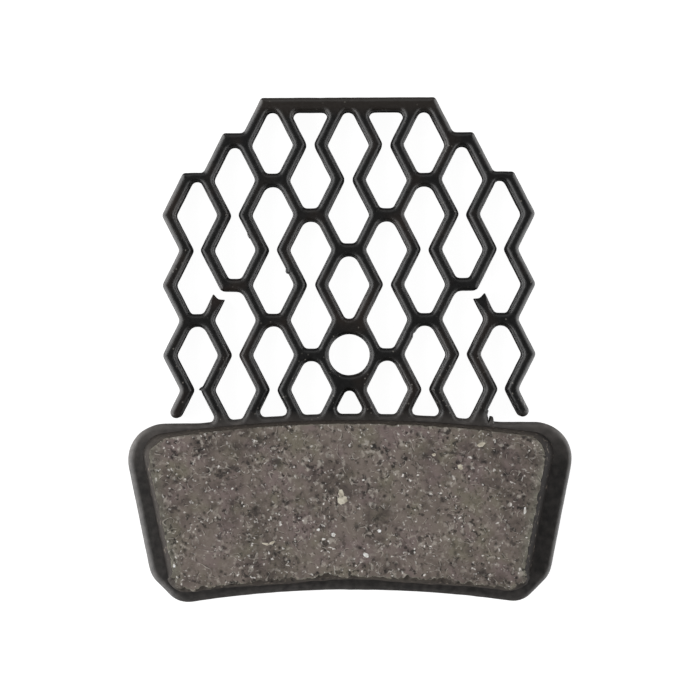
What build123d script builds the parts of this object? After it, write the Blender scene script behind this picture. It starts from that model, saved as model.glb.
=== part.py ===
import os
from math import atan2, ceil, cos, floor, pi, tan

from build123d import *

# Brake pad for a four-piston bicycle disc caliper, lying on its back.
# +Z comes out of the friction face, +Y runs up the cooling lattice, and the origin is the
# centre of the pin hole on the back face. Sizes named "hole to" are measured down from that hole.

# Steel plate
plate_thickness = 1.8
edge_bevel = 0.3  # stands for the rounding that blanking leaves on the front edges
plate_crown = 4.92  # hole to the upper edge, in the middle
plate_shoulder = 5.67  # hole to the upper edge, at the sides
crown_width = 25.0  # arched stretch of the upper edge
crown_radius = 12.0  # blend from the arched stretch to the shoulders
shoulder_width = 38.25  # between the side lines, at the height of the shoulders
shoulder_radius = 3.0
plate_hip = 18.3  # hole to the top of the lower corner cuts
hip_width = 33.18  # between the side lines, at the height of the hips
plate_toe = 20.66  # hole to the bottom of the lower corner cuts
toe_width = 28.48  # between the lower corner cuts, at the bottom
toe_radius = 2.0
plate_arch = 19.54  # hole to the hollow lower edge, in the middle

# Pin hole and the solid cell round it
pin_hole_diameter = 3.4
boss_end = 0.1  # solid metal past the row lines above and below the hole

# Cooling lattice: strands zigzag down the sheet between column lines and kink on every row line.
# Rows count down from the upper bar. A strand is named for the half column it runs down.
column_pitch = 3.16
row_rise = 2.913
pin_row = 7
kink_offset = 0.84  # column line to a strand's centre, where the strand kinks towards it
strand_width = 1.03
tie_height = 1.08  # webs that join two strands
bar_rise = 1.0  # upper bar and inner steps, above their row lines
bar_drop = 0.17  # upper bar and inner steps, below their row lines
step_rise = 0.62  # outer steps, above their row line
step_drop = 0.1  # outer steps, below their row line
foot_bite = 0.1  # least depth of a strand's foot in the plate
free_end_gap = 0.44  # outer strands' free ends to the shoulders of the plate
relief_radius = 1.2  # round cut that parts the broken strands from their ties
tip_radius = 0.5  # outer side of a kink
arch_fullness = 0.9  # share of a cell's level upper end that its rounded corners take
cell_radius = 0.42  # other corners, apart from the hollow side of the kinks
end_fullness = 0.98  # radius of the free ends, over half a strand's width

inner_strands = (0.5, 1.5)
bar_strand = 2.5  # ends the upper bar
broken_strand = 3.5  # starts at the inner step, and is parted under its tie
free_strand = 4.5  # starts at the outer step, and hangs free above the plate
inner_step_row = 1
outer_step_row = 2
broken_row = 5
tie_rows = {0: [4], 1: [3, 7], 2: [2, 6], 4: [6]}  # rows on which a column's two strands are tied

# Friction block
block_thickness = 2.2
block_shift = -0.12  # the block is bonded a little to one side
block_crown = 5.7  # hole to the face's upper edge, in the middle
block_shoulder = 7.03  # hole to the face's upper corners
block_width = 32.8  # between the face's upper corners
block_arch = 18.2  # hole to the face's lower edge, in the middle
block_toe = 19.3  # hole to the face's lower corners
block_toe_width = 29.1  # between the face's lower corners
block_shoulder_radius = 1.8
block_toe_radius = 1.8
side_draft = 0.95  # foot of the block past its face, at the upper corners
toe_draft = 0.2  # foot of the block past its face, at the lower corners
end_draft = 0.3  # foot of the block past its face, along the upper and lower edges

same_place = 1e-4  # two points nearer than this are one
smooth_bend = 0.2  # sine of the bend below which two edges run smoothly into each other


def row_y(row):
    return (pin_row - row) * row_rise


# On each row a strand leans towards the one of its two columns that has the row's parity
def kink(strand, row):
    left_column = round(strand - 0.5)
    if (left_column - row) % 2 == 0:
        return left_column * column_pitch + kink_offset, row_y(row)
    return (left_column + 1) * column_pitch - kink_offset, row_y(row)


# Point at any height on the line of the leg that runs down from a row
def leg_point(strand, row, y):
    x_start, y_start = kink(strand, row)
    x_end, y_end = kink(strand, row + 1)
    return x_start + (x_end - x_start) * (y - y_start) / (y_end - y_start), y


# A strand's centre line between two heights, from the leg under one row to the leg under another
def zigzag(strand, first_row, last_row, top, bottom):
    corners = [kink(strand, row) for row in range(first_row + 1, last_row + 1)]
    return [leg_point(strand, first_row, top), *corners, leg_point(strand, last_row, bottom)]


# Web between two lines, each given from the top down
def web(left, right):
    with BuildSketch() as outline:
        with BuildLine():
            Polyline(*left, *reversed(right), close=True)
        make_face()
    return outline.sketch


lean = atan2(column_pitch - 2 * kink_offset, row_rise)
strand_reach = strand_width / 2 / cos(lean)  # half of a strand's width, measured level


# Metal of a strand along its centre line, with mitred kinks and level ends
def strip(points):
    left = [(x - strand_reach, y) for x, y in points]
    right = [(x + strand_reach, y) for x, y in points]
    return web(left, right)


half_tie = tie_height / 2
foot_row = pin_row + ceil((plate_shoulder + foot_bite) / row_rise)
free_end = free_end_gap - plate_shoulder
free_row = pin_row + floor(-free_end / row_rise)
broken_kink = kink(broken_strand, broken_row)

# Upper bar and the strands under it
bar_top = row_y(0) + bar_rise
bar_ends = [zigzag(strand, 0, 0, bar_top, row_y(0) - bar_drop) for strand in (-bar_strand, bar_strand)]
webs = [web(*bar_ends)]
for strand in (*inner_strands, bar_strand):
    webs.append(strip(zigzag(strand, 0, foot_row - 1, row_y(0), row_y(foot_row))))
webs.append(strip(zigzag(bar_strand, 0, 0, bar_top, row_y(0))))

# Broken strand: its upper length ends level with its tie, its lower length in a round cut
step_top = row_y(inner_step_row) + bar_rise
step_bottom = row_y(inner_step_row) - bar_drop
step_end = zigzag(broken_strand, inner_step_row, inner_step_row, step_top, step_bottom)
webs.append(web(zigzag(bar_strand, 0, inner_step_row, step_top, step_bottom), step_end))
tie_top = row_y(broken_row) + half_tie
tie_bottom = row_y(broken_row) - half_tie
webs.append(strip(zigzag(broken_strand, inner_step_row, broken_row - 1, step_top, tie_bottom)))
tie_end = zigzag(broken_strand, broken_row - 1, broken_row - 1, tie_top, tie_bottom)
webs.append(web(zigzag(bar_strand, broken_row - 1, broken_row, tie_top, tie_bottom), tie_end))
lower_length = zigzag(broken_strand, broken_row, foot_row - 1, row_y(broken_row), row_y(foot_row))
with BuildSketch() as parted_strand:
    add(strip(lower_length))
    with Locations(broken_kink):
        Circle(relief_radius, mode=Mode.SUBTRACT)
webs.append(parted_strand.sketch)

# Free strand
step_top = row_y(outer_step_row) + step_rise
step_bottom = row_y(outer_step_row) - step_drop
step_end = zigzag(free_strand, outer_step_row, outer_step_row, step_top, step_bottom)
webs.append(web(zigzag(broken_strand, inner_step_row, outer_step_row, step_top, step_bottom), step_end))
webs.append(strip(zigzag(free_strand, outer_step_row, free_row, step_top, free_end)))

# Ties
for column, rows in tie_rows.items():
    for row in rows:
        heights = (row_y(row) + half_tie, row_y(row) - half_tie)
        webs.append(web(*[zigzag(column + side, row - 1, row, *heights) for side in (-0.5, 0.5)]))

# Boss: the middle cell, left solid round the pin hole
boss_top = row_y(pin_row - 1) + boss_end
boss_bottom = row_y(pin_row + 1) - boss_end
webs.append(web(*[zigzag(side, pin_row - 2, pin_row + 1, boss_top, boss_bottom) for side in (-0.5, 0.5)]))

# Outline of the plate under the lattice
with BuildSketch() as plate_outline:
    with BuildLine():
        crown = ThreePointArc(
            (-crown_width / 2, -plate_shoulder), (0, -plate_crown), (crown_width / 2, -plate_shoulder)
        )
        arch = ThreePointArc((toe_width / 2, -plate_toe), (0, -plate_arch), (-toe_width / 2, -plate_toe))
        Polyline(
            crown @ 1, (shoulder_width / 2, -plate_shoulder), (hip_width / 2, -plate_hip), arch @ 0
        )
        Polyline(
            arch @ 1, (-hip_width / 2, -plate_hip), (-shoulder_width / 2, -plate_shoulder), crown @ 0
        )
    make_face()
    crown_ends = plate_outline.vertices().group_by(Axis.Y)[-1].sort_by(Axis.X)[1:-1]
    fillet(crown_ends, crown_radius)
    across = plate_outline.vertices().sort_by(Axis.X)
    fillet([across[0], across[-1]], shoulder_radius)
    toes, hips = plate_outline.vertices().group_by(Axis.Y)[:2]
    fillet(toes + hips, toe_radius)


def rows_down(corner):
    return pin_row - corner.Y / row_rise


def on_row(corner):
    return abs(rows_down(corner) - round(rows_down(corner))) < same_place


# Distance to the nearest column line that strands lean towards on the corner's row
def column_gap(corner):
    columns = corner.X / column_pitch - round(rows_down(corner))
    return abs(columns - 2 * round(columns / 2)) * column_pitch


# Outer corner of a kink
def is_tip(corner):
    return on_row(corner) and column_gap(corner) < kink_offset


# Corner that is neither at a kink nor on the round cut of a broken strand
def is_cell_corner(corner):
    reach = (Vector(abs(corner.X), corner.Y) - Vector(*broken_kink)).length
    return not on_row(corner) and abs(reach - relief_radius) > same_place


# Upper corner of a cell, under the metal that joins two strands
def is_arch_corner(corner):
    below_row = rows_down(corner) > round(rows_down(corner))
    return is_cell_corner(corner) and below_row and column_gap(corner) < kink_offset


# Corners of an outline, without the points where a line runs smoothly into an arc
def sharp_corners(outline):
    tangents = {}
    for edge in outline.edges():
        for end in (0, 1):
            place = edge @ end
            tangents.setdefault((round(place.X, 3), round(place.Y, 3)), []).append(edge % end)

    def bend(corner):
        before, after = tangents[round(corner.X, 3), round(corner.Y, 3)]
        return before.cross(after).length

    return outline.vertices().filter_by(lambda corner: bend(corner) > smooth_bend)


with BuildSketch() as sheet:
    add(webs)
    mirror(about=Plane.YZ)
    add(plate_outline.sketch)
    fillet(sheet.vertices().filter_by(is_tip), tip_radius)
    free_corners = sheet.vertices().filter_by(lambda corner: abs(corner.Y - free_end) < same_place)
    fillet(free_corners, end_fullness * strand_width / 2)
    arch_corners = sharp_corners(sheet).filter_by(is_arch_corner)
    for gap in sorted({round(column_gap(corner), 4) for corner in arch_corners}):
        arch = arch_corners.filter_by(lambda corner: abs(column_gap(corner) - gap) < same_place)
        fillet(arch, arch_fullness * gap / tan(pi / 4 - lean / 2))
        arch_corners = sharp_corners(sheet).filter_by(is_arch_corner)
    fillet(sharp_corners(sheet).filter_by(is_cell_corner), cell_radius)
    Circle(pin_hole_diameter / 2, mode=Mode.SUBTRACT)

# The cuts on the broken strands stay square; every other front edge is bevelled
with BuildPart() as backing_plate:
    add(sheet.sketch)
    extrude(amount=plate_thickness)
    front_edges = backing_plate.faces().sort_by(Axis.Z)[-1].edges()
    cuts = front_edges.filter_by(GeomType.CIRCLE).filter_by(
        lambda edge: abs(edge.radius - relief_radius) < same_place
    )
    chamfer(front_edges - cuts, edge_bevel)


# Outline of the friction block at one height, spread past the outline of its face
def block_outline(height, side_spread, toe_spread, end_spread):
    shoulder = (block_width / 2 + side_spread, end_spread - block_shoulder)
    toe = (block_toe_width / 2 + toe_spread, -block_toe - end_spread)
    with BuildSketch(Plane((block_shift, 0, height))) as outline:
        with BuildLine():
            upper = ThreePointArc((-shoulder[0], shoulder[1]), (0, end_spread - block_crown), shoulder)
            lower = ThreePointArc(toe, (0, -block_arch - end_spread), (-toe[0], toe[1]))
            Line(upper @ 1, lower @ 0)
            Line(lower @ 1, upper @ 0)
        make_face()
        fillet(outline.vertices().group_by(Axis.Y)[-1], block_shoulder_radius)
        fillet(outline.vertices().group_by(Axis.Y)[0], block_toe_radius)
    return outline.sketch


block_foot = block_outline(plate_thickness, side_draft, toe_draft, end_draft)
block_face = block_outline(plate_thickness + block_thickness, 0, 0, 0)

with BuildPart() as friction_pad:
    loft([block_foot, block_face], ruled=True)

backing_plate.part.label = "backing_plate"
friction_pad.part.label = "friction_pad"
os.makedirs("parts", exist_ok=True)
export_step(backing_plate.part, "parts/backing_plate.step")
export_step(friction_pad.part, "parts/friction_pad.step")
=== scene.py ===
import math
import random

import bmesh
import bpy
from mathutils import Matrix, Vector, noise
from mathutils.geometry import delaunay_2d_cdt
from mathutils.kdtree import KDTree


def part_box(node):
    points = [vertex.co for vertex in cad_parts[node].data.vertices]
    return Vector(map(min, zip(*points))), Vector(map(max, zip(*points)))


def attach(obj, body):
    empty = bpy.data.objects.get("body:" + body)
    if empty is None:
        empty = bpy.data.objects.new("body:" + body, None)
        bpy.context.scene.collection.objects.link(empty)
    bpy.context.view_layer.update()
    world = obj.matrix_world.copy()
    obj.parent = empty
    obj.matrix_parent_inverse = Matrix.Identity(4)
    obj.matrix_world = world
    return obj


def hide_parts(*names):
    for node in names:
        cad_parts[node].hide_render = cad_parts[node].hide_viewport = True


mm = 0.001
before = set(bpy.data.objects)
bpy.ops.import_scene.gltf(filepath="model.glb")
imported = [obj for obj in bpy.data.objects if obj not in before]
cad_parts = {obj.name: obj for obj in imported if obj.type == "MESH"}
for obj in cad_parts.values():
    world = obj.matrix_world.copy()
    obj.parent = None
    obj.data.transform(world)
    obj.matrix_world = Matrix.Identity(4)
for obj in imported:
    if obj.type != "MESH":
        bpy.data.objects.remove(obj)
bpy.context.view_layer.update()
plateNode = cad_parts["backing_plate"]
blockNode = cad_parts["friction_pad"]
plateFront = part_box("backing_plate")[1].z
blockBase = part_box("friction_pad")[0].z
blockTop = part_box("friction_pad")[1].z
print("frame loaded")


# Outlines and meshes

def pairs(points):
    # each point of a loop with the next one
    return zip(points, points[1:] + points[:1])


def triples(points):
    # each point of a loop between its neighbours
    return zip(points[-1:] + points[:-1], points, points[1:] + points[:1])


def signedArea(loop):
    return sum(a.x * b.y - b.x * a.y for a, b in pairs(loop)) / 2


def readOutlines(node, height):
    # loops round the node's level face at that height, the outer one first, metal on the left of each
    bm = bmesh.new()
    bm.from_mesh(node.data)
    bmesh.ops.remove_doubles(bm, verts=bm.verts, dist=1e-7)
    bm.verts.index_update()
    level = {f.index for f in bm.faces if all(abs(v.co.z - height) < 1e-6 for v in f.verts)}
    rim = [e for e in bm.edges if sum(f.index in level for f in e.link_faces) == 1]
    ways = {}
    for e in rim:
        for v in e.verts:
            ways.setdefault(v.index, []).append(e.other_vert(v))
    loops, seen = [], set()
    for e in rim:
        if e.verts[0].index in seen:
            continue
        loop, here = [], e.verts[0]
        while here.index not in seen:
            seen.add(here.index)
            loop.append(Vector((here.co.x, here.co.y, 0.0)))
            onward = [v for v in ways[here.index] if v.index not in seen]
            here = onward[0] if onward else here
        loops.append(loop)
    bm.free()
    loops.sort(key=lambda loop: -abs(signedArea(loop)))
    return [loop if (signedArea(loop) > 0) == (i == 0) else loop[::-1] for i, loop in enumerate(loops)]


def evenOut(loop, spacing):
    points = []
    for a, b in pairs(loop):
        count = max(1, round((b - a).length / spacing))
        points += [a.lerp(b, i / count) for i in range(count)]
    return points


def inwardNormals(points):
    # mitred, and into the metal
    normals = []
    for before, here, after in triples(points):
        u = (here - before).xy.normalized()
        v = (after - here).xy.normalized()
        normals.append((Vector((-u.y, u.x)) + Vector((-v.y, v.x))) / (1 + u.dot(v)))
    return normals


def treeOf(points):
    # finds the nearest of the points, seen from above
    near = KDTree(len(points))
    for i, p in enumerate(points):
        near.insert((p.x, p.y, 0), i)
    near.balance()
    return near


def bridge(bm, lower, upper, material):
    for (a, b), (c, d) in zip(pairs(lower), pairs(upper)):
        face = bm.faces.new((a, b, d, c))
        face.material_index = material
        face.smooth = True


def finishMesh(bm, name, materials, node):
    bmesh.ops.recalc_face_normals(bm, faces=bm.faces)
    mesh = bpy.data.meshes.new(name)
    bm.to_mesh(mesh)
    bm.free()
    for material in materials:
        mesh.materials.append(material)
    piece = bpy.data.objects.new(name, mesh)
    bpy.context.scene.collection.objects.link(piece)
    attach(piece, "root")
    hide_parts(node)
    print(name, len(mesh.vertices), "points", len(mesh.polygons), "faces")


# Nodes and colours

colourMix = {"data_type": "RGBA"}  # its colours are inputs 6 and 7, and its result is output 2
plus = {"operation": "ADD"}
times = {"operation": "MULTIPLY"}
timesPlus = {"operation": "MULTIPLY_ADD"}
within = {"operation": "COMPARE"}


def hexColour(text):
    channels = [int(text[i:i + 2], 16) / 255 for i in (1, 3, 5)]
    return [c / 12.92 if c <= 0.04045 else ((c + 0.055) / 1.055) ** 2.4 for c in channels] + [1.0]


def addNode(tree, kind, settings=None, **inputs):
    # inputs are values or sockets, by name or as _6 for input 6; From and To take a pair for Min and Max
    node = tree.nodes.new("ShaderNode" + kind)
    for name, value in (settings or {}).items():
        setattr(node, name, value)
    for name in ("From", "To"):
        if name in inputs:
            inputs[name + "_Min"], inputs[name + "_Max"] = inputs.pop(name)
    for name, value in inputs.items():
        socket = node.inputs[int(name[1:])] if name[0] == "_" else node.inputs[name.replace("_", " ")]
        if isinstance(value, bpy.types.NodeSocket):
            tree.links.new(value, socket)
        else:
            socket.default_value = value
    return node


def newMaterial(name):
    material = bpy.data.materials.new(name)
    material.use_nodes = True
    tree = material.node_tree
    return material, tree, tree.nodes["Principled BSDF"]


def perMm(size):
    return 1 / (size * mm)  # texture scale for features of that size, in metres


# Black stoving enamel, dipped and baked on blanked steel: satin black with orange peel, greyer on the plate
# where dust from grinding the block has settled, and lighter on the ledge above the block as painted light
enamel = {
    "lattice": "#0a0a0a",
    "warm": "#221b17",  # rusty film in places
    "bar": "#26211d",  # brown film along the upper bar
    "plate": "#312e2c",
    "paintedLightLedge": "#4d4946",  # painted light: lighter on the ledge between lattice and block, against the shade of the block's wall
    "speck": "#77736d",
    "ior": 1.55,
    "roughness": (0.32, 0.47),
    "dustRoughness": 0.15,  # more, where dust lies
    # heights on the pad, in mm, where each starts and where it is full
    "fades": {"bar": (19.6, 20.6), "dust": (-4.6, -5.7), "scuff": (1.0, -4.0), "paintedLightLedge": (-9.5, -6.8)},
    "dustDepth": (0.3, 0.9),  # mm from the back, none lies below that
    "filmSize": 3.5,  # mm
    "filmRange": (0.5, 0.7),  # noise values where the film starts and where it is full
    "mottleSize": 0.55,  # mm
    "mottleRange": (0.35, 0.65),
    "patchy": (-0.35, 0.35),  # less and more dust in patches
    "speckSize": 0.26,  # mm, real dust is finer and would not show
    "speckReach": (0.35, 0.1),  # from the edge to the core of a speck, in cells
    "speckRange": (0.93, 1.0),  # only cells that draw such a number hold one
    "scuffed": 0.2,  # added to that number on the lower strands
    "scuffOnDust": -1.4,  # and taken off again where dust lies
    "peelSize": 0.3,  # mm
    "peelHeight": 0.018,  # mm
    "peelRange": (0.3, 0.7),
}


def bakedEnamel():
    material, tree, shader = newMaterial("bakedEnamel")
    place = addNode(tree, "TexCoord").outputs["Object"]
    axes = addNode(tree, "SeparateXYZ", Vector=place)
    fades = {}
    for name, (start, full) in enamel["fades"].items():
        fades[name] = addNode(tree, "MapRange", Value=axes.outputs["Y"], From=(start * mm, full * mm))
    start, full = enamel["dustDepth"]
    inFront = addNode(tree, "MapRange", Value=axes.outputs["Z"], From=(start * mm, full * mm))
    tree.links.new(inFront.outputs[0], fades["dust"].inputs["To Max"])
    dust = fades["dust"].outputs[0]
    # bare coat, with its films
    film = addNode(tree, "TexNoise", Vector=place, Scale=perMm(enamel["filmSize"]), Detail=3.0)
    warm = addNode(tree, "MapRange", Value=film.outputs[0], From=enamel["filmRange"])
    coat = addNode(tree, "Mix", colourMix, Factor=warm.outputs[0],
                   _6=hexColour(enamel["lattice"]), _7=hexColour(enamel["warm"]))
    barred = addNode(tree, "Mix", colourMix, Factor=fades["bar"].outputs[0],
                     _6=coat.outputs[2], _7=hexColour(enamel["bar"]))
    # dust on the plate, and painted light on the ledge beside the block
    mottle = addNode(tree, "TexNoise", Vector=place, Scale=perMm(enamel["mottleSize"]), Detail=4.0)
    patchy = addNode(tree, "MapRange", Value=mottle.outputs[0],
                     From=enamel["mottleRange"], To=enamel["patchy"])
    dustAndPaintedLight = addNode(tree, "Math", plus, _0=fades["paintedLightLedge"].outputs[0], _1=patchy.outputs[0])
    paintedLightLedge = addNode(tree, "Mix", {"data_type": "RGBA", "clamp_factor": False}, Factor=dustAndPaintedLight.outputs[0],
                    _6=hexColour(enamel["plate"]), _7=hexColour(enamel["paintedLightLedge"]))
    dusted = addNode(tree, "Mix", colourMix, Factor=dust, _6=barred.outputs[2], _7=paintedLightLedge.outputs[2])
    # single specks, more of them on the lower strands
    cells = addNode(tree, "TexVoronoi", Vector=place, Scale=perMm(enamel["speckSize"]))
    speck = addNode(tree, "MapRange", Value=cells.outputs["Distance"], From=enamel["speckReach"])
    number = addNode(tree, "SeparateColor", Color=cells.outputs["Color"])
    onStrands = addNode(tree, "Math", timesPlus, _0=dust, _1=enamel["scuffOnDust"],
                        _2=fades["scuff"].outputs[0])
    more = addNode(tree, "Math", timesPlus, _0=onStrands.outputs[0], _1=enamel["scuffed"],
                   _2=number.outputs[0])
    few = addNode(tree, "MapRange", Value=more.outputs[0], From=enamel["speckRange"])
    shown = addNode(tree, "Math", times, _0=speck.outputs[0], _1=few.outputs[0])
    colour = addNode(tree, "Mix", colourMix, Factor=shown.outputs[0],
                     _6=dusted.outputs[2], _7=hexColour(enamel["speck"]))
    # orange peel
    peel = addNode(tree, "TexNoise", Vector=place, Scale=perMm(enamel["peelSize"]), Detail=6.0,
                   Roughness=0.7)
    satin = addNode(tree, "MapRange", Value=peel.outputs[0],
                    From=enamel["peelRange"], To=enamel["roughness"])
    rough = addNode(tree, "Math", timesPlus, _0=dust, _1=enamel["dustRoughness"], _2=satin.outputs[0])
    bump = addNode(tree, "Bump", Height=peel.outputs[0], Distance=enamel["peelHeight"] * mm)
    shader.inputs["IOR"].default_value = enamel["ior"]
    tree.links.new(colour.outputs[2], shader.inputs["Base Color"])
    tree.links.new(rough.outputs[0], shader.inputs["Roughness"])
    tree.links.new(bump.outputs[0], shader.inputs["Normal"])
    return material


# Sheared steel edge under thin enamel: torn and matt, so it reads as a black line
sheared = {
    "colour": "#0b0b0b",
    "bright": "#161514",
    "roughness": 0.9,
    "specular": 0.05,
    "tearWidth": 0.12,  # mm
    "tearLength": 0.6,  # mm, down the wall
}


def shearedEdge():
    material, tree, shader = newMaterial("shearedEdge")
    place = addNode(tree, "TexCoord").outputs["Object"]
    squeeze = (1, 1, sheared["tearWidth"] / sheared["tearLength"])
    drawn = addNode(tree, "Mapping", Vector=place, Scale=squeeze)
    tear = addNode(tree, "TexNoise", Vector=drawn.outputs[0], Scale=perMm(sheared["tearWidth"]), Detail=2.0)
    colour = addNode(tree, "Mix", colourMix, Factor=tear.outputs[0],
                     _6=hexColour(sheared["colour"]), _7=hexColour(sheared["bright"]))
    tree.links.new(colour.outputs[2], shader.inputs["Base Color"])
    shader.inputs["Roughness"].default_value = sheared["roughness"]
    shader.inputs["Specular IOR Level"].default_value = sheared["specular"]
    return material


# Organic brake compound, moulded hot and ground flat: brown-grey resin and fillers, dull,
# with bright fibre, metal specks whose glints are painted near white, and pores torn open by the grinding;
# painted shade darkens the pores, the hollows of the relief and one side of each fibre
compound = {
    "resin": "#776c64",
    "olive": "#756e60",
    "mauve": "#786a66",
    "dark": "#423934",
    # dark grains, and painted shade in pores, in the relief's hollows and beside fibres
    "darkAndShade": "#181411",
    "grain": "#b6afa5",
    # painted glints: the metal flakes' reflections drawn as a near-white colour
    "paintedGlint": "#ece8e2",
    "fringe": "#787569",
    "roughness": 0.75,
    "turn": (0.4, 0.3, 0.6),  # radians
    # noise patterns: size in mm and detail
    "noises": {
        "patch": (6.0, 1.0),
        "tint": (2.4, 2.0),
        "busy": (1.7, 2.0),  # grains gather in clusters
        "mottle": (0.9, 5.0),
        "curl": (0.83, 0.0),  # fibres follow its level lines
        "grain": (0.46, 2.0),
        "shadedPit": (0.37, 3.0),
        "flake": (0.3, 1.0),  # drawn as painted glints; real metal flakes are finer and would not show
    },
    "tintRange": (0.5, 0.65),
    "darkRange": (1.06, 0.72),
    "darkest": 0.8,
    "busyRange": (0.35, 0.6),
    "sparse": 0.25,  # share of the grains left between the clusters
    # kinds of grain: noise values where each starts and is full, how strongly it shows, and its colour;
    # the second is painted shade where the bump relief is lowest, the last painted glints
    "kinds": {
        "darkGrain": (0.44, 0.34, 0.8, "darkAndShade"),
        "shadedPit": (0.41, 0.31, 0.9, "darkAndShade"),
        "paleGrain": (0.57, 0.69, 0.65, "grain"),
        "flake": (0.655, 0.76, 1.0, "paintedGlint"),
    },
    # the painted shadow beside each fibre, and the fibre: noise value that it follows, half its width,
    # colour
    "fibres": ((0.455, 0.024, "darkAndShade"), (0.5, 0.02, "grain")),
    "fibreRange": (0.5, 0.62),
    "fibreStrength": 0.5,
    "reliefHeight": 0.09,  # mm
}


def frictionCompound():
    material, tree, shader = newMaterial("frictionCompound")
    straight = addNode(tree, "TexCoord").outputs["Object"]
    # turned, so that no pattern runs along the block
    place = addNode(tree, "Mapping", Vector=straight, Rotation=compound["turn"]).outputs[0]
    noises = {}
    for name, (size, detail) in compound["noises"].items():
        noises[name] = addNode(tree, "TexNoise", Vector=place, Scale=perMm(size), Detail=detail).outputs
    # resin, tinted in patches, greenish near the sides and darker in places
    tints = addNode(tree, "SeparateColor", Color=noises["tint"]["Color"])
    under = hexColour(compound["resin"])
    for i, name in enumerate(("olive", "mauve")):
        much = addNode(tree, "MapRange", Value=tints.outputs[i], From=compound["tintRange"])
        under = addNode(tree, "Mix", colourMix, Factor=much.outputs[0],
                        _6=under, _7=hexColour(compound[name])).outputs[2]
    edge = addNode(tree, "Attribute", {"attribute_name": "sprayShadeAndFringe"})
    fringed = addNode(tree, "Mix", colourMix, Factor=edge.outputs["Fac"],
                      _6=under, _7=hexColour(compound["fringe"]))
    uneven = addNode(tree, "Math", plus, _0=noises["patch"][0], _1=noises["mottle"][0])
    toDark = addNode(tree, "MapRange", Value=uneven.outputs[0], From=compound["darkRange"],
                     To=(0.0, compound["darkest"]))
    under = addNode(tree, "Mix", colourMix, Factor=toDark.outputs[0],
                    _6=fringed.outputs[2], _7=hexColour(compound["dark"])).outputs[2]
    # grains, in clusters
    clusters = addNode(tree, "MapRange", Value=noises["busy"][0], From=compound["busyRange"],
                       To=(compound["sparse"], 1.0)).outputs[0]
    grains = addNode(tree, "SeparateColor", Color=noises["grain"]["Color"])
    drawnFrom = {
        "darkGrain": grains.outputs[0],
        "shadedPit": noises["shadedPit"][0],
        "paleGrain": grains.outputs[1],
        "flake": noises["flake"][0],
    }
    for name, (start, full, strength, colour) in compound["kinds"].items():
        some = addNode(tree, "MapRange", Value=drawnFrom[name], From=(start, full), To=(0.0, strength))
        shown = addNode(tree, "Math", times, _0=some.outputs[0], _1=clusters)
        under = addNode(tree, "Mix", colourMix, Factor=shown.outputs[0],
                        _6=under, _7=hexColour(compound[colour])).outputs[2]
    # fibres show in short lengths, each with a painted shadow along one side
    short = addNode(tree, "MapRange", Value=grains.outputs[2], From=compound["fibreRange"],
                    To=(0.0, compound["fibreStrength"]))
    for value, width, colour in compound["fibres"]:
        along = addNode(tree, "Math", within, _0=noises["curl"][0], _1=value, _2=width)
        shown = addNode(tree, "Math", times, _0=along.outputs[0], _1=short.outputs[0])
        under = addNode(tree, "Mix", colourMix, Factor=shown.outputs[0],
                        _6=under, _7=hexColour(compound[colour])).outputs[2]
    # painted shade inside the modelled pores, darker where deeper, and the darker sunken patches
    depth = addNode(tree, "Attribute", {"attribute_name": "darkAndShade"})
    colour = addNode(tree, "Mix", colourMix, Factor=depth.outputs["Fac"],
                     _6=under, _7=hexColour(compound["darkAndShade"]))
    relief = addNode(tree, "Math", times, _0=noises["shadedPit"][0], _1=clusters)
    bump = addNode(tree, "Bump", Height=relief.outputs[0], Distance=compound["reliefHeight"] * mm)
    tree.links.new(colour.outputs[2], shader.inputs["Base Color"])
    tree.links.new(bump.outputs[0], shader.inputs["Normal"])
    shader.inputs["Roughness"].default_value = compound["roughness"]
    return material


# Side of the moulded block: the same compound under black overspray from the plate's coat,
# which thins towards the face and is rubbed through in spots; the black is partly painted shade,
# heavier on the right and lower walls and near the face, lighter on the upper wall as painted light
wall = {
    "overspray": "#15110f",
    "bare": "#645b52",
    # painted shade in the wall's pits
    "shadedPit": "#2c2723",
    "roughness": 0.8,
    "specular": 0.2,
    "pitSize": 0.35,  # mm
    "pitShadeRange": (0.45, 0.3),
    "pitHeight": 0.04,  # mm
    "rubSize": 0.43,  # mm
    "rubRange": (0.7, 0.6),
    "atFace": 0.8,  # share of the overspray left at the face, kept high as painted shade over the walls' lit tops
}


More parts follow.
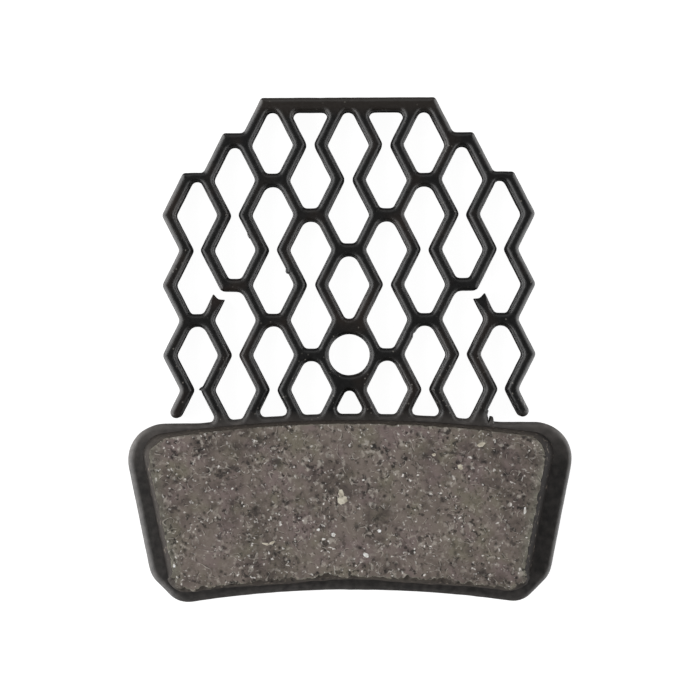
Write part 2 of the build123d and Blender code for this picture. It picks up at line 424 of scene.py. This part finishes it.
def compoundSide():
    material, tree, shader = newMaterial("compoundSide")
    place = addNode(tree, "TexCoord").outputs["Object"]
    axes = addNode(tree, "SeparateXYZ", Vector=place)
    grain = addNode(tree, "TexNoise", Vector=place, Scale=perMm(wall["pitSize"]), Detail=3.0)
    # painted shade: the bare compound darkens where the bump below it sinks
    shadedPit = addNode(tree, "MapRange", Value=grain.outputs[0], From=wall["pitShadeRange"])
    bareWithPitShade = addNode(tree, "Mix", colourMix, Factor=shadedPit.outputs[0],
                     _6=hexColour(wall["bare"]), _7=hexColour(wall["shadedPit"]))
    thin = addNode(tree, "MapRange", Value=axes.outputs["Z"], From=(plateFront, blockTop),
                   To=(1.0, wall["atFace"]))
    sprayShadeAndFringe = addNode(tree, "Attribute", {"attribute_name": "sprayShadeAndFringe"})
    coverAndShade = addNode(tree, "Math", times, _0=thin.outputs[0], _1=sprayShadeAndFringe.outputs["Fac"])
    rub = addNode(tree, "TexNoise", Vector=place, Scale=perMm(wall["rubSize"]), Detail=3.0)
    whole = addNode(tree, "MapRange", Value=rub.outputs[0], From=wall["rubRange"])
    keptCoverAndShade = addNode(tree, "Math", times, _0=coverAndShade.outputs[0], _1=whole.outputs[0])
    colour = addNode(tree, "Mix", colourMix, Factor=keptCoverAndShade.outputs[0],
                     _6=bareWithPitShade.outputs[2], _7=hexColour(wall["overspray"]))
    bump = addNode(tree, "Bump", Height=grain.outputs[0], Distance=wall["pitHeight"] * mm)
    tree.links.new(colour.outputs[2], shader.inputs["Base Color"])
    tree.links.new(bump.outputs[0], shader.inputs["Normal"])
    shader.inputs["Roughness"].default_value = wall["roughness"]
    shader.inputs["Specular IOR Level"].default_value = wall["specular"]
    return material


# Mica and glass filler broken open by the grinding: pale, waxy, duller than the metal specks
filler = {
    "creamFiller": ("#ada492", "#ddd6c5"),
    "whiteFiller": ("#c4bfb6", "#ffffff"),
    "roughness": 0.5,
    "cloudSize": 0.35,  # mm
    "cloudRange": (0.35, 0.65),
}


def paleFiller(name):
    material, tree, shader = newMaterial(name)
    shade, colour = filler[name]
    place = addNode(tree, "TexCoord").outputs["Object"]
    cloud = addNode(tree, "TexNoise", Vector=place, Scale=perMm(filler["cloudSize"]), Detail=3.0)
    tone = addNode(tree, "MapRange", Value=cloud.outputs[0], From=filler["cloudRange"])
    mixed = addNode(tree, "Mix", colourMix, Factor=tone.outputs[0],
                    _6=hexColour(shade), _7=hexColour(colour))
    tree.links.new(mixed.outputs[2], shader.inputs["Base Color"])
    shader.inputs["Roughness"].default_value = filler["roughness"]
    return material


# Steel plate with its lattice
plate = {
    "spacing": 0.15,  # mm between points along the outline
    "edgeRound": 0.45,  # mm, die roll on the front edges
    "borderRound": {"left": 0.6, "right": 0.4},  # mm, on the border beside and below the block
    "borderTop": -7.0,  # mm
    "cutRound": 0.02,  # mm, on the square cuts of the broken strands
    "cut": (10.32, 5.826, 1.2),  # mm, centre and radius of those cuts
    "roundGrowth": 0.35,  # mm of radius per mm along the outline
    "roundFit": 0.94,  # share of the room across the metal that the rounding may take
    "roundSteps": 6,
    "roundDepth": 1.25,  # how much deeper than wide the rounding is
    "wallLevels": (0.35, 0.7, 1.0),  # rings on the wall, as shares of its height
    "backBreak": 0.05,  # mm
    "supportWidth": 0.02,  # mm, keeps the flat face flat in shading
    "softenings": 3,
    "waver": 0.03,  # mm
    "waverSize": 0.9,  # mm
    # burrs left on the sheared edge: where, how far they stand out and half their width, in mm,
    # and which way, in degrees
    "burrs": (
        (11.8, -5.6, 0.42, 0.16, 88),
        (11.25, -5.1, 0.22, 0.45, 30),
        (-12.36, -2.7, 0.24, 0.2, 195),
        (-8.3, 9.92, 0.06, 0.2, 210),
        (-5.2, 6.9, 0.13, 0.16, 205),
    ),
    "burrPoints": 4,  # times as many points along a burr
    # places where it is nicked instead: where, how deep and half the width, in mm
    "nicks": (
        (-10.86, 4.76, 0.05, 0.3),
        (10.86, 4.76, 0.05, 0.3),
        (5.4, 1.68, 0.1, 0.14),
    ),
}


def onCut(p):
    x, y, radius = plate["cut"]
    away = Vector((abs(p.x) / mm - x, p.y / mm - y))
    return away.y < -radius / 2 and abs(away.length - radius) < 0.01


def softened(points):
    # rounds the hollow side of each kink a little; the square cuts stay, and z is 1 along them
    for p in points:
        p.z = float(onCut(p))
    for _ in range(plate["softenings"]):
        points = [
            here if before.z or here.z or after.z else (before + 2 * here + after) / 4
            for before, here, after in triples(points)
        ]
    return points


def wavered(points):
    # the sheared edge wavers and is nicked, always to the inside
    moved = []
    for p, n in zip(points, inwardNormals(points)):
        swing = noise.noise(p.xy.to_3d() / (plate["waverSize"] * mm))
        inward = plate["waver"] * mm * (0.5 + 0.5 * swing)
        for x, y, depth, width in plate["nicks"]:
            away = (p.xy - Vector((x, y)) * mm).length / (width * mm)
            inward += depth * mm * math.exp(-away ** 2) if away < 2 else 0
        moved.append(Vector((p.x + n.x * inward, p.y + n.y * inward, p.z)))
    return moved


def burr(p):
    # how far a burr pushes the outline out at a point
    push = Vector((0, 0))
    for x, y, rise, width, bearing in plate["burrs"]:
        away = (p.xy - Vector((x, y)) * mm).length / (width * mm)
        out = Vector((math.cos(math.radians(bearing)), math.sin(math.radians(bearing))))
        push += out * rise * mm * math.exp(-min(away, 2) ** 6)
    return push


def refined(rows):
    # more points where a burr stands, each with its normal and radius
    finer = []
    for (p, n, r), (q, m, s) in pairs(rows):
        count = plate["burrPoints"] if burr(p.lerp(q, 0.5)).length > 0.001 * mm else 1
        for i in range(count):
            t = i / count
            finer.append((p.lerp(q, t), n.lerp(m, t), r + (s - r) * i / count))
    return finer


def roundings(points, outline):
    # radius of the rounded edge at each point, less than the largest disc of metal that fits there
    radii = []
    for p, n in zip(points, inwardNormals(points)):
        border = plate["borderRound"]["left" if p.x < 0 else "right"]
        wanted = (border if p.y < plate["borderTop"] * mm else plate["edgeRound"]) * mm
        disc = 2 * wanted
        for _ in range(10):
            middle = p.xy + n.normalized() * disc
            nearest, i, away = outline.find((middle.x, middle.y, 0))
            if away > disc - 0.002 * mm:
                break
            across = nearest.xy - p.xy
            disc = across.length_squared / (2 * n.normalized().dot(across))
        fits = max(0.01 * mm, plate["roundFit"] * disc - plate["supportWidth"] * mm)
        radii.append(plate["cutRound"] * mm if p.z else min(wanted, fits))
    # the radius grows only slowly away from a narrow place, both ways round
    count = len(points)
    for way, turns in ((1, range(1, count)), (-1, range(count - 2, -1, -1))):
        for i in turns:
            step = (points[i] - points[i - way]).xy.length
            radii[i] = min(radii[i], radii[i - way] + plate["roundGrowth"] * step)
    return radii


def plateRing(bm, rows, insets, heights):
    # burrs fade out over the rounded edge
    ring = []
    for (p, n, r), inset, height in zip(rows, insets, heights):
        at = p.xy + n * inset + burr(p) * max(0, 1 - inset / r)
        ring.append(bm.verts.new((at.x, at.y, height)))
    return ring


def buildPlate():
    bm = bmesh.new()
    fronts, backs = [], []
    loops = [evenOut(loop, plate["spacing"] * mm) for loop in readOutlines(plateNode, 0.0)]
    loops = [wavered(softened(points)) for points in loops]
    outline = treeOf([p for points in loops for p in points])
    backBreak = plate["backBreak"] * mm
    for points in loops:
        rows = refined(list(zip(points, inwardNormals(points), roundings(points, outline))))
        radii = [r for p, n, r in rows]
        depths = [r * plate["roundDepth"] for r in radii]
        none = [0.0] * len(rows)
        # insets and heights of each ring, from the back up
        levels = [([backBreak] * len(rows), none), (none, [backBreak] * len(rows))]
        for share in plate["wallLevels"]:
            levels.append((none, [backBreak + (plateFront - d - backBreak) * share for d in depths]))
        for step in range(1, plate["roundSteps"] + 1):
            a = math.pi / 2 * step / plate["roundSteps"]
            insets = [r * (1 - math.cos(a)) for r in radii]
            levels.append((insets, [plateFront - d + d * math.sin(a) for d in depths]))
        levels.append(([r + plate["supportWidth"] * mm for r in radii], [plateFront] * len(rows)))
        rings = [plateRing(bm, rows, insets, heights) for insets, heights in levels]
        for k, (lower, upper) in enumerate(zip(rings, rings[1:])):
            bridge(bm, lower, upper, 1 if 1 <= k <= len(plate["wallLevels"]) else 0)
        backs.append(rings[0])
        fronts.append(rings[-1])
    for caps in (fronts, backs):
        edges = [bm.edges.get(ends) for ring in caps for ends in pairs(ring)]
        bmesh.ops.triangle_fill(bm, use_beauty=True, edges=edges)
    finishMesh(bm, "backingPlate", [bakedEnamel(), shearedEdge()], "backing_plate")


buildPlate()


# Friction block
block = {
    "spacing": 0.1,  # mm between points of the face
    "wallSteps": 10,
    "edgeRound": 0.06,  # mm
    "edgeRings": ((0.35, 0.3), (1.0, 0.0)),  # in from the wall and down from the face, as shares of that
    # mm past the CAD's edge before it is worn back: lower and upper edge in the middle and at the
    # corners, sides at the bottom and at the top
    "proud": {"lower": (0.24, 0.56), "upper": (0.16, 0.16), "left": (-0.35, 0.5), "right": (-0.35, 0.2)},
    "chipsPerMm": {"lower": 1.5, "upper": 1.0, "sides": 1.0},
    "chipSize": (0.1, 0.5),  # mm, half the width of a chip in the face's edge
    "chipDepth": {"lower": 0.4, "upper": 0.14, "sides": 0.14},  # mm, at most
    "chipFade": 5,  # power by which chips fade out down the wall
    "ragged": {"lower": 0.5, "upper": 0.1, "sides": 0.14},  # mm
    "raggedSizes": ((0.6, 0.55), (0.35, 0.21)),  # share and size of its teeth, in mm
    "calmSize": 1.6,  # mm, stretches with fewer teeth
    "flash": (0.08, 0.36),  # mm, least and most that the foot runs out along the lower edge
    "flashEvery": 12.5,  # mm
    "flashRipple": (0.06, 0.7),  # mm, how far and how long
    "sideRough": 0.05,  # mm
    "sideRoughSize": 0.4,  # mm
    # share of overspray on the walls, and how much more on the sides, the right and the lower edge;
    # the extra on the right and lower edges, and the less on the upper edge, is painted shade and light
    "sprayShadeAndFringe": {"all": 0.8, "sides": 0.3, "right": 0.1, "lower": 0.04},
    "fringe": 0.9,  # mm, greenish edge of the face at the sides
    "grainDepth": 0.02,  # mm
    "grainSize": 0.3,  # mm
    "pores": 330,
    "poreSize": (0.09, 0.26),  # mm
    "poreShrink": (0.6, 1.0),
    "poreDepth": (0.03, 0.08),  # mm
    "poreRagged": (0.6, 0.15),  # share, and size in mm
    "poreShade": (0.75, 0.07),  # how dark the painted shade in a pore is, and at what depth in mm
    # darker sunken patches: where, and how far they reach each way, in mm
    "patches": (
        (-5.9, -8.8, 0.75, 0.5), (-7.7, -12.7, 0.5, 0.6), (-9.3, -9.3, 0.5, 0.35),
        (-1.5, -11.2, 0.4, 0.4), (2.1, -7.6, 0.32, 0.26), (6.2, -8.3, 0.4, 0.3),
        (9.7, -9.2, 0.3, 0.2), (10.9, -8.8, 0.34, 0.2), (7.6, -11.9, 0.34, 0.26),
        (0.6, -14.0, 0.34, 0.3), (10.85, -17.9, 0.5, 0.34), (5.7, -15.1, 0.2, 0.3),
        (14.25, -6.8, 0.35, 0.2), (-5.2, -12.0, 0.7, 0.25), (13.8, -8.5, 0.2, 0.45),
        (-14.3, -10.3, 0.3, 0.3),
    ),
    "patchDepth": 0.04,  # mm
    "patchShade": 0.7,
    "patchEdge": 1.6,  # how steeply they darken
    "patchRagged": ((0.5, 0.3), (0.4, 0.12)),  # shares, and sizes in mm
    "seed": 4,
}

# pale flakes of filler in the face: where, width, height and turn, in mm and degrees
flakes = {
    "cream": (
        (-0.64, -11.85, 1.1, 0.9, 40), (-0.74, -11.3, 0.6, 1.05, 6), (10.75, -7.4, 1.0, 0.55, 15),
        (9.05, -9.2, 0.55, 0.8, 25), (-6.9, -15.45, 0.9, 0.3, -12), (-6.4, -15.35, 0.7, 0.3, 24),
        (6.9, -8.2, 0.5, 0.4, 0),
    ),
    "white": (
        (14.3, -12.8, 0.36, 0.85, -4), (1.3, -16.4, 0.75, 0.5, -35), (-1.35, -14.7, 0.5, 0.46, 20),
        (2.4, -14.4, 0.42, 0.42, 40), (-2.6, -14.3, 0.36, 0.36, 0), (-14.4, -17.2, 0.34, 0.45, 10),
    ),
    "corners": (5, 7),
    "skew": 0.3,  # how unevenly the corners are spaced
    "reach": (0.75, 1.0),  # how unevenly they stand out
    "rings": ((1.0, -0.12), (1.0, -0.03), (0.8, -0.004)),  # share of the width, and mm from the ground face
}


def addFlakes(bm, roll):
    # each is a chipped plate with a bevelled top, just under the ground face
    for material, kind in ((2, "cream"), (3, "white")):
        for x, y, width, height, turn in flakes[kind]:
            corners = roll.randint(*flakes["corners"])
            rings = [[] for _ in flakes["rings"]]
            for i in range(corners):
                a = 2 * math.pi * (i + roll.uniform(-flakes["skew"], flakes["skew"])) / corners
                reach = roll.uniform(*flakes["reach"])
                corner = Vector((math.cos(a) * width / 2, math.sin(a) * height / 2)) * reach
                corner.rotate(Matrix.Rotation(math.radians(turn), 2))
                for ring, (share, z) in zip(rings, flakes["rings"]):
                    at = ((x + corner.x * share) * mm, (y + corner.y * share) * mm, blockTop + z * mm)
                    ring.append(bm.verts.new(at))
            for lower, upper in zip(rings, rings[1:]):
                bridge(bm, lower, upper, material)
            for cap in (rings[0][::-1], rings[-1]):
                bm.faces.new(cap).material_index = material


def crossing(centre, towards, loop):
    # where the ray from the centre meets a loop round it
    d = towards - centre
    for a, b in pairs(loop):
        e = b - a
        det = d.x * e.y - d.y * e.x
        if abs(det) < 1e-15:
            continue
        w = a - centre
        t = (w.x * e.y - w.y * e.x) / det
        u = (w.x * d.y - w.y * d.x) / det
        if t > 0 and -1e-9 <= u <= 1 + 1e-9:
            return centre + d * t
    return towards


def latticeInside(loop, spacing):
    # staggered points inside a loop, row by row
    points = []
    row = spacing * math.sqrt(3) / 2
    low = min(p.y for p in loop)
    high = max(p.y for p in loop)
    for k in range(1, int((high - low) / row)):
        y = low + k * row
        cuts = sorted(
            a.x + (b.x - a.x) * (y - a.y) / (b.y - a.y)
            for a, b in pairs(loop) if (a.y > y) != (b.y > y)
        )
        for start, end in zip(cuts[::2], cuts[1::2]):
            x = math.ceil(start / spacing) * spacing + (k % 2) * spacing / 2
            while x < end:
                points.append(Vector((x, y)))
                x += spacing
    return points


def setProud(rim, normals):
    # the face's edge before it is worn back
    reach = max(p.x for p in rim)
    low = min(p.y for p in rim)
    high = max(p.y for p in rim)
    moved = []
    for p, n in zip(rim, normals):
        middle, corner = block["proud"]["lower" if n.y > 0 else "upper"]
        bottom, top = block["proud"]["left" if n.x > 0 else "right"]
        level = middle + (corner - middle) * (p.x / reach) ** 2
        upright = bottom + (top - bottom) * (p.y - low) / (high - low)
        share = min(1, max(0, (abs(n.y) - 0.3) / 0.4))  # blends the two round the corners
        moved.append(p - n * (upright + (level - upright) * share) * mm)
    return moved


def crumble(rim, normals, roll):
    # how far the face's edge has broken back at each point, in scalloped chips and fine teeth
    chips = []
    least, most = block["chipSize"]
    edgeOf = ["lower" if n.y > 0.5 else "upper" if n.y < -0.8 else "sides" for n in normals]
    for p, which in zip(rim, edgeOf):
        if roll.random() < block["chipsPerMm"][which] * block["spacing"]:
            large = roll.random() ** 2
            size = least + (most - least) * large
            depth = block["chipDepth"][which] * roll.random() * (0.3 + 0.7 * large)
            chips.append((p, size * mm, depth * mm))
    wander = []
    for p, which in zip(rim, edgeOf):
        at = Vector((p.x, p.y, 0))
        bite = max(depth * max(0, 1 - ((p - spot).length / size) ** 2) for spot, size, depth in chips)
        calm = 0.6 + 0.6 * noise.noise(at / (block["calmSize"] * mm))
        teeth = sum(share * noise.noise(at / (size * mm)) for share, size in block["raggedSizes"])
        wander.append(bite + block["ragged"][which] * (0.5 + calm * teeth) * mm)
    return wander


def flashed(p, inward):
    # the compound has run out over the plate along the lower edge, in two broad tongues
    if inward.y < 0.5:
        return p
    least, most = block["flash"]
    tongue = math.sin(math.pi * p.x / (block["flashEvery"] * mm)) ** 2
    far, long = block["flashRipple"]
    ripple = far * noise.noise(Vector((p.x, p.y, 0)) / (long * mm))
    return p - inward * (least + (most - least) * tongue + ripple) * mm


def wallRings(bm, rim, foot, normals, wander):
    # from the foot up the drafted wall and over the worn edge to the face
    edge = block["edgeRound"] * mm
    wallTop = blockTop - edge
    sideRough = block["sideRough"] * mm
    rings = []
    for k in range(block["wallSteps"] + 1):
        t = k / block["wallSteps"]
        height = blockBase + (wallTop - blockBase) * t
        ring = []
        for p, q, n, w in zip(rim, foot, normals, wander):
            at = q.lerp(p, t * (wallTop - blockBase) / (blockTop - blockBase))
            swing = noise.noise(Vector((at.x, at.y, height)) / (block["sideRoughSize"] * mm))
            rough = sideRough * (0.5 + 0.5 * swing)
            at = at + n * (w * t ** block["chipFade"] + rough * min(1, 4 * t))
            ring.append(bm.verts.new((at.x, at.y, height)))
        rings.append(ring)
    for inset, drop in block["edgeRings"]:
        ring = []
        for p, n, w in zip(rim, normals, wander):
            at = p + n * (w + sideRough * 0.5 + edge * inset)
            ring.append(bm.verts.new((at.x, at.y, blockTop - edge * drop)))
        rings.append(ring)
    return rings


def fillFace(bm, ring, near):
    # even triangles inside the last ring; its points come first
    spacing = block["spacing"] * mm
    outline = [v.co.xy for v in ring]
    inside = [p for p in latticeInside(outline, spacing) if near.find((p.x, p.y, 0))[2] > 0.6 * spacing]
    points = [p / mm for p in outline + inside]
    count = len(outline)
    edges = [(i, (i + 1) % count) for i in range(count)]
    flat, _, triangles, source, _, _ = delaunay_2d_cdt(points, edges, [], 1, 1e-6)
    verts = []
    for p, ids in zip(flat, source):
        onRing = ids and ids[0] < count
        verts.append(ring[ids[0]] if onRing else bm.verts.new((p.x * mm, p.y * mm, blockTop)))
    for triangle in triangles:
        face = bm.faces.new([verts[i] for i in triangle])
        face.smooth = True
    return verts


def wear(verts, outline, darkAndShade, roll):
    # pores with their painted shade, sunken darker patches and the grain of the ground face
    near = treeOf([v.co for v in verts])
    drop = [0.0] * len(verts)
    low = Vector((min(p.x for p in outline), min(p.y for p in outline)))
    high = Vector((max(p.x for p in outline), max(p.y for p in outline)))
    hollows = []
    for _ in range(block["pores"]):
        spot = Vector((roll.uniform(low.x, high.x), roll.uniform(low.y, high.y), 0))
        size = roll.uniform(*block["poreSize"]) * roll.uniform(*block["poreShrink"])
        hollows.append((spot, size * mm, roll.uniform(*block["poreDepth"]) * mm))
    share, grit = block["poreRagged"]
    for spot, size, depth in hollows:
        for at, i, away in near.find_range(spot, size * 1.5):
            ragged = size * (1 + share * noise.noise(at / (grit * mm)))
            if away < ragged:
                drop[i] = max(drop[i], depth * (1 - (away / ragged) ** 2))
    dark, deep = block["poreShade"]
    shade = [dark * d / (deep * mm) for d in drop]
    for x, y, width, height in block["patches"]:
        for at, i, away in near.find_range(Vector((x, y, 0)) * mm, 1.5 * max(width, height) * mm):
            out = math.hypot((at.x / mm - x) / width, (at.y / mm - y) / height)
            out += sum(share * noise.noise(at / (size * mm)) for share, size in block["patchRagged"])
            shade[i] = max(shade[i], block["patchShade"] * min(1, block["patchEdge"] * (1 - out)))
            drop[i] = max(drop[i], block["patchDepth"] * mm * max(0, 1 - out))
    for i, v in enumerate(verts):
        grain = 0.5 + 0.5 * noise.noise(v.co / (block["grainSize"] * mm))
        v.co.z -= drop[i] + block["grainDepth"] * mm * grain
        v[darkAndShade] = min(1.0, shade[i])


def buildBlock():
    bm = bmesh.new()
    darkAndShade = bm.verts.layers.float.new("darkAndShade")
    sprayShadeAndFringe = bm.verts.layers.float.new("sprayShadeAndFringe")
    roll = random.Random(block["seed"])
    rim = evenOut(readOutlines(blockNode, blockTop)[0], block["spacing"] * mm)
    normals = inwardNormals(rim)
    rim = setProud([p.xy for p in rim], normals)
    centre = sum(rim, Vector((0, 0))) / len(rim)
    cadFoot = [p.xy for p in readOutlines(blockNode, blockBase)[0]]
    foot = [flashed(crossing(centre, p, cadFoot), n) for p, n in zip(rim, normals)]
    wander = crumble(rim, normals, roll)
    # walls
    rings = wallRings(bm, rim, foot, normals, wander)
    # overspray, with painted shade: more on the right and lower walls, less on the upper wall
    much = block["sprayShadeAndFringe"]
    for ring in rings:
        for v, n in zip(ring, normals):
            v[sprayShadeAndFringe] = much["all"] + much["sides"] * abs(n.x) - much["right"] * n.x + much["lower"] * n.y
    for lower, upper in zip(rings, rings[1:]):
        bridge(bm, lower, upper, 1 if upper is not rings[-1] else 0)
    bottom = bm.faces.new(rings[0][::-1])
    bottom.material_index = 1
    # face
    outline = [v.co.xy for v in rings[-1]]
    near = treeOf(outline)
    verts = fillFace(bm, rings[-1], near)
    wear(verts, outline, darkAndShade, roll)
    for v in verts[len(outline):]:
        _, i, away = near.find((v.co.x, v.co.y, 0))
        v[sprayShadeAndFringe] = abs(normals[i].x) ** 2 * max(0, 1 - away / (block["fringe"] * mm))
    addFlakes(bm, roll)
    materials = [frictionCompound(), compoundSide(), paleFiller("creamFiller"), paleFiller("whiteFiller")]
    finishMesh(bm, "frictionBlock", materials, "friction_pad")


buildBlock()


# Camera, floor and light
camera = {
    "height": 170.0,  # mm from the plate's front face
    "pixels": 700,  # across the picture
    "pixelsPerMm": 12.072,
    "centre": (0.063, 0.394),  # mm
    "turn": -0.27,  # degrees about the line of sight
    "sensor": 36.0,  # mm
    "clip": (0.01, 10.0),  # m
}


def buildCamera():
    data = bpy.data.cameras.new("camera")
    span = camera["pixels"] / camera["pixelsPerMm"]
    data.sensor_width = camera["sensor"]
    data.lens = camera["sensor"] * camera["height"] / span
    data.clip_start, data.clip_end = camera["clip"]
    cam = bpy.data.objects.new("camera", data)
    x, y = camera["centre"]
    cam.location = (x * mm, y * mm, plateFront + camera["height"] * mm)
    cam.rotation_euler.z = math.radians(camera["turn"])
    bpy.context.scene.collection.objects.link(cam)
    bpy.context.scene.camera = cam
    print("camera placed")


# Opal acrylic sheet, lit from below: plain white, with hardly a shadow
sheet = {
    "colour": "#8c8c8c",
    "glow": "#ffffff",
    "glowStrength": 0.96,
    "roughness": 0.9,
    "half": 1.5,  # m
    "below": 0.02,  # mm, just clear of the plate's back, so that the two don't flicker
}


def buildFloor():
    mesh = bpy.data.meshes.new("floor")
    half = sheet["half"]
    around = ((-half, -half), (half, -half), (half, half), (-half, half))
    mesh.from_pydata([(x, y, -sheet["below"] * mm) for x, y in around], [], [(0, 1, 2, 3)])
    material, tree, shader = newMaterial("paleAcrylic")
    shader.inputs["Base Color"].default_value = hexColour(sheet["colour"])
    shader.inputs["Roughness"].default_value = sheet["roughness"]
    shader.inputs["Emission Color"].default_value = hexColour(sheet["glow"])
    shader.inputs["Emission Strength"].default_value = sheet["glowStrength"]
    mesh.materials.append(material)
    floor = bpy.data.objects.new("floor", mesh)
    bpy.context.scene.collection.objects.link(floor)
    floor.visible_glossy = False  # its glare would cover the satin coat
    floor.visible_shadow = False
    print("floor laid")


# softboxes by compass bearing from +X and rise above the floor, in degrees, how far away and how
# large they are, in metres, and how bright they look
softboxes = {
    "left": {"bearing": 182, "rise": 2, "away": 0.5, "size": (1.2, 1.0), "bright": 3.3},
    "right": {"bearing": -3, "rise": -4, "away": 0.5, "size": (1.1, 0.85), "bright": 2.5},
    "top": {"bearing": 90, "rise": 30, "away": 0.6, "size": (0.4, 0.5), "bright": 0.7},
}
room = {"colour": "#ffffff", "bright": 0.11}


def buildLight():
    for name, box in softboxes.items():
        data = bpy.data.lights.new(name, "AREA")
        data.shape = "RECTANGLE"
        data.size, data.size_y = box["size"]
        data.energy = box["bright"] * math.pi * data.size * data.size_y
        lamp = bpy.data.objects.new(name, data)
        bearing, rise = math.radians(box["bearing"]), math.radians(box["rise"])
        level = math.cos(rise)
        towards = Vector((math.cos(bearing) * level, math.sin(bearing) * level, math.sin(rise)))
        lamp.location = towards * box["away"]
        lamp.rotation_euler = towards.to_track_quat("Z", "Y").to_euler()
        bpy.context.scene.collection.objects.link(lamp)
    world = bpy.data.worlds.new("dimRoom")
    bpy.context.scene.world = world
    world.use_nodes = True
    background = world.node_tree.nodes["Background"]
    background.inputs["Color"].default_value = hexColour(room["colour"])
    background.inputs["Strength"].default_value = room["bright"]
    print("lights set")


buildCamera()
buildFloor()
buildLight()
bpy.context.scene.view_settings.view_transform = "Standard"
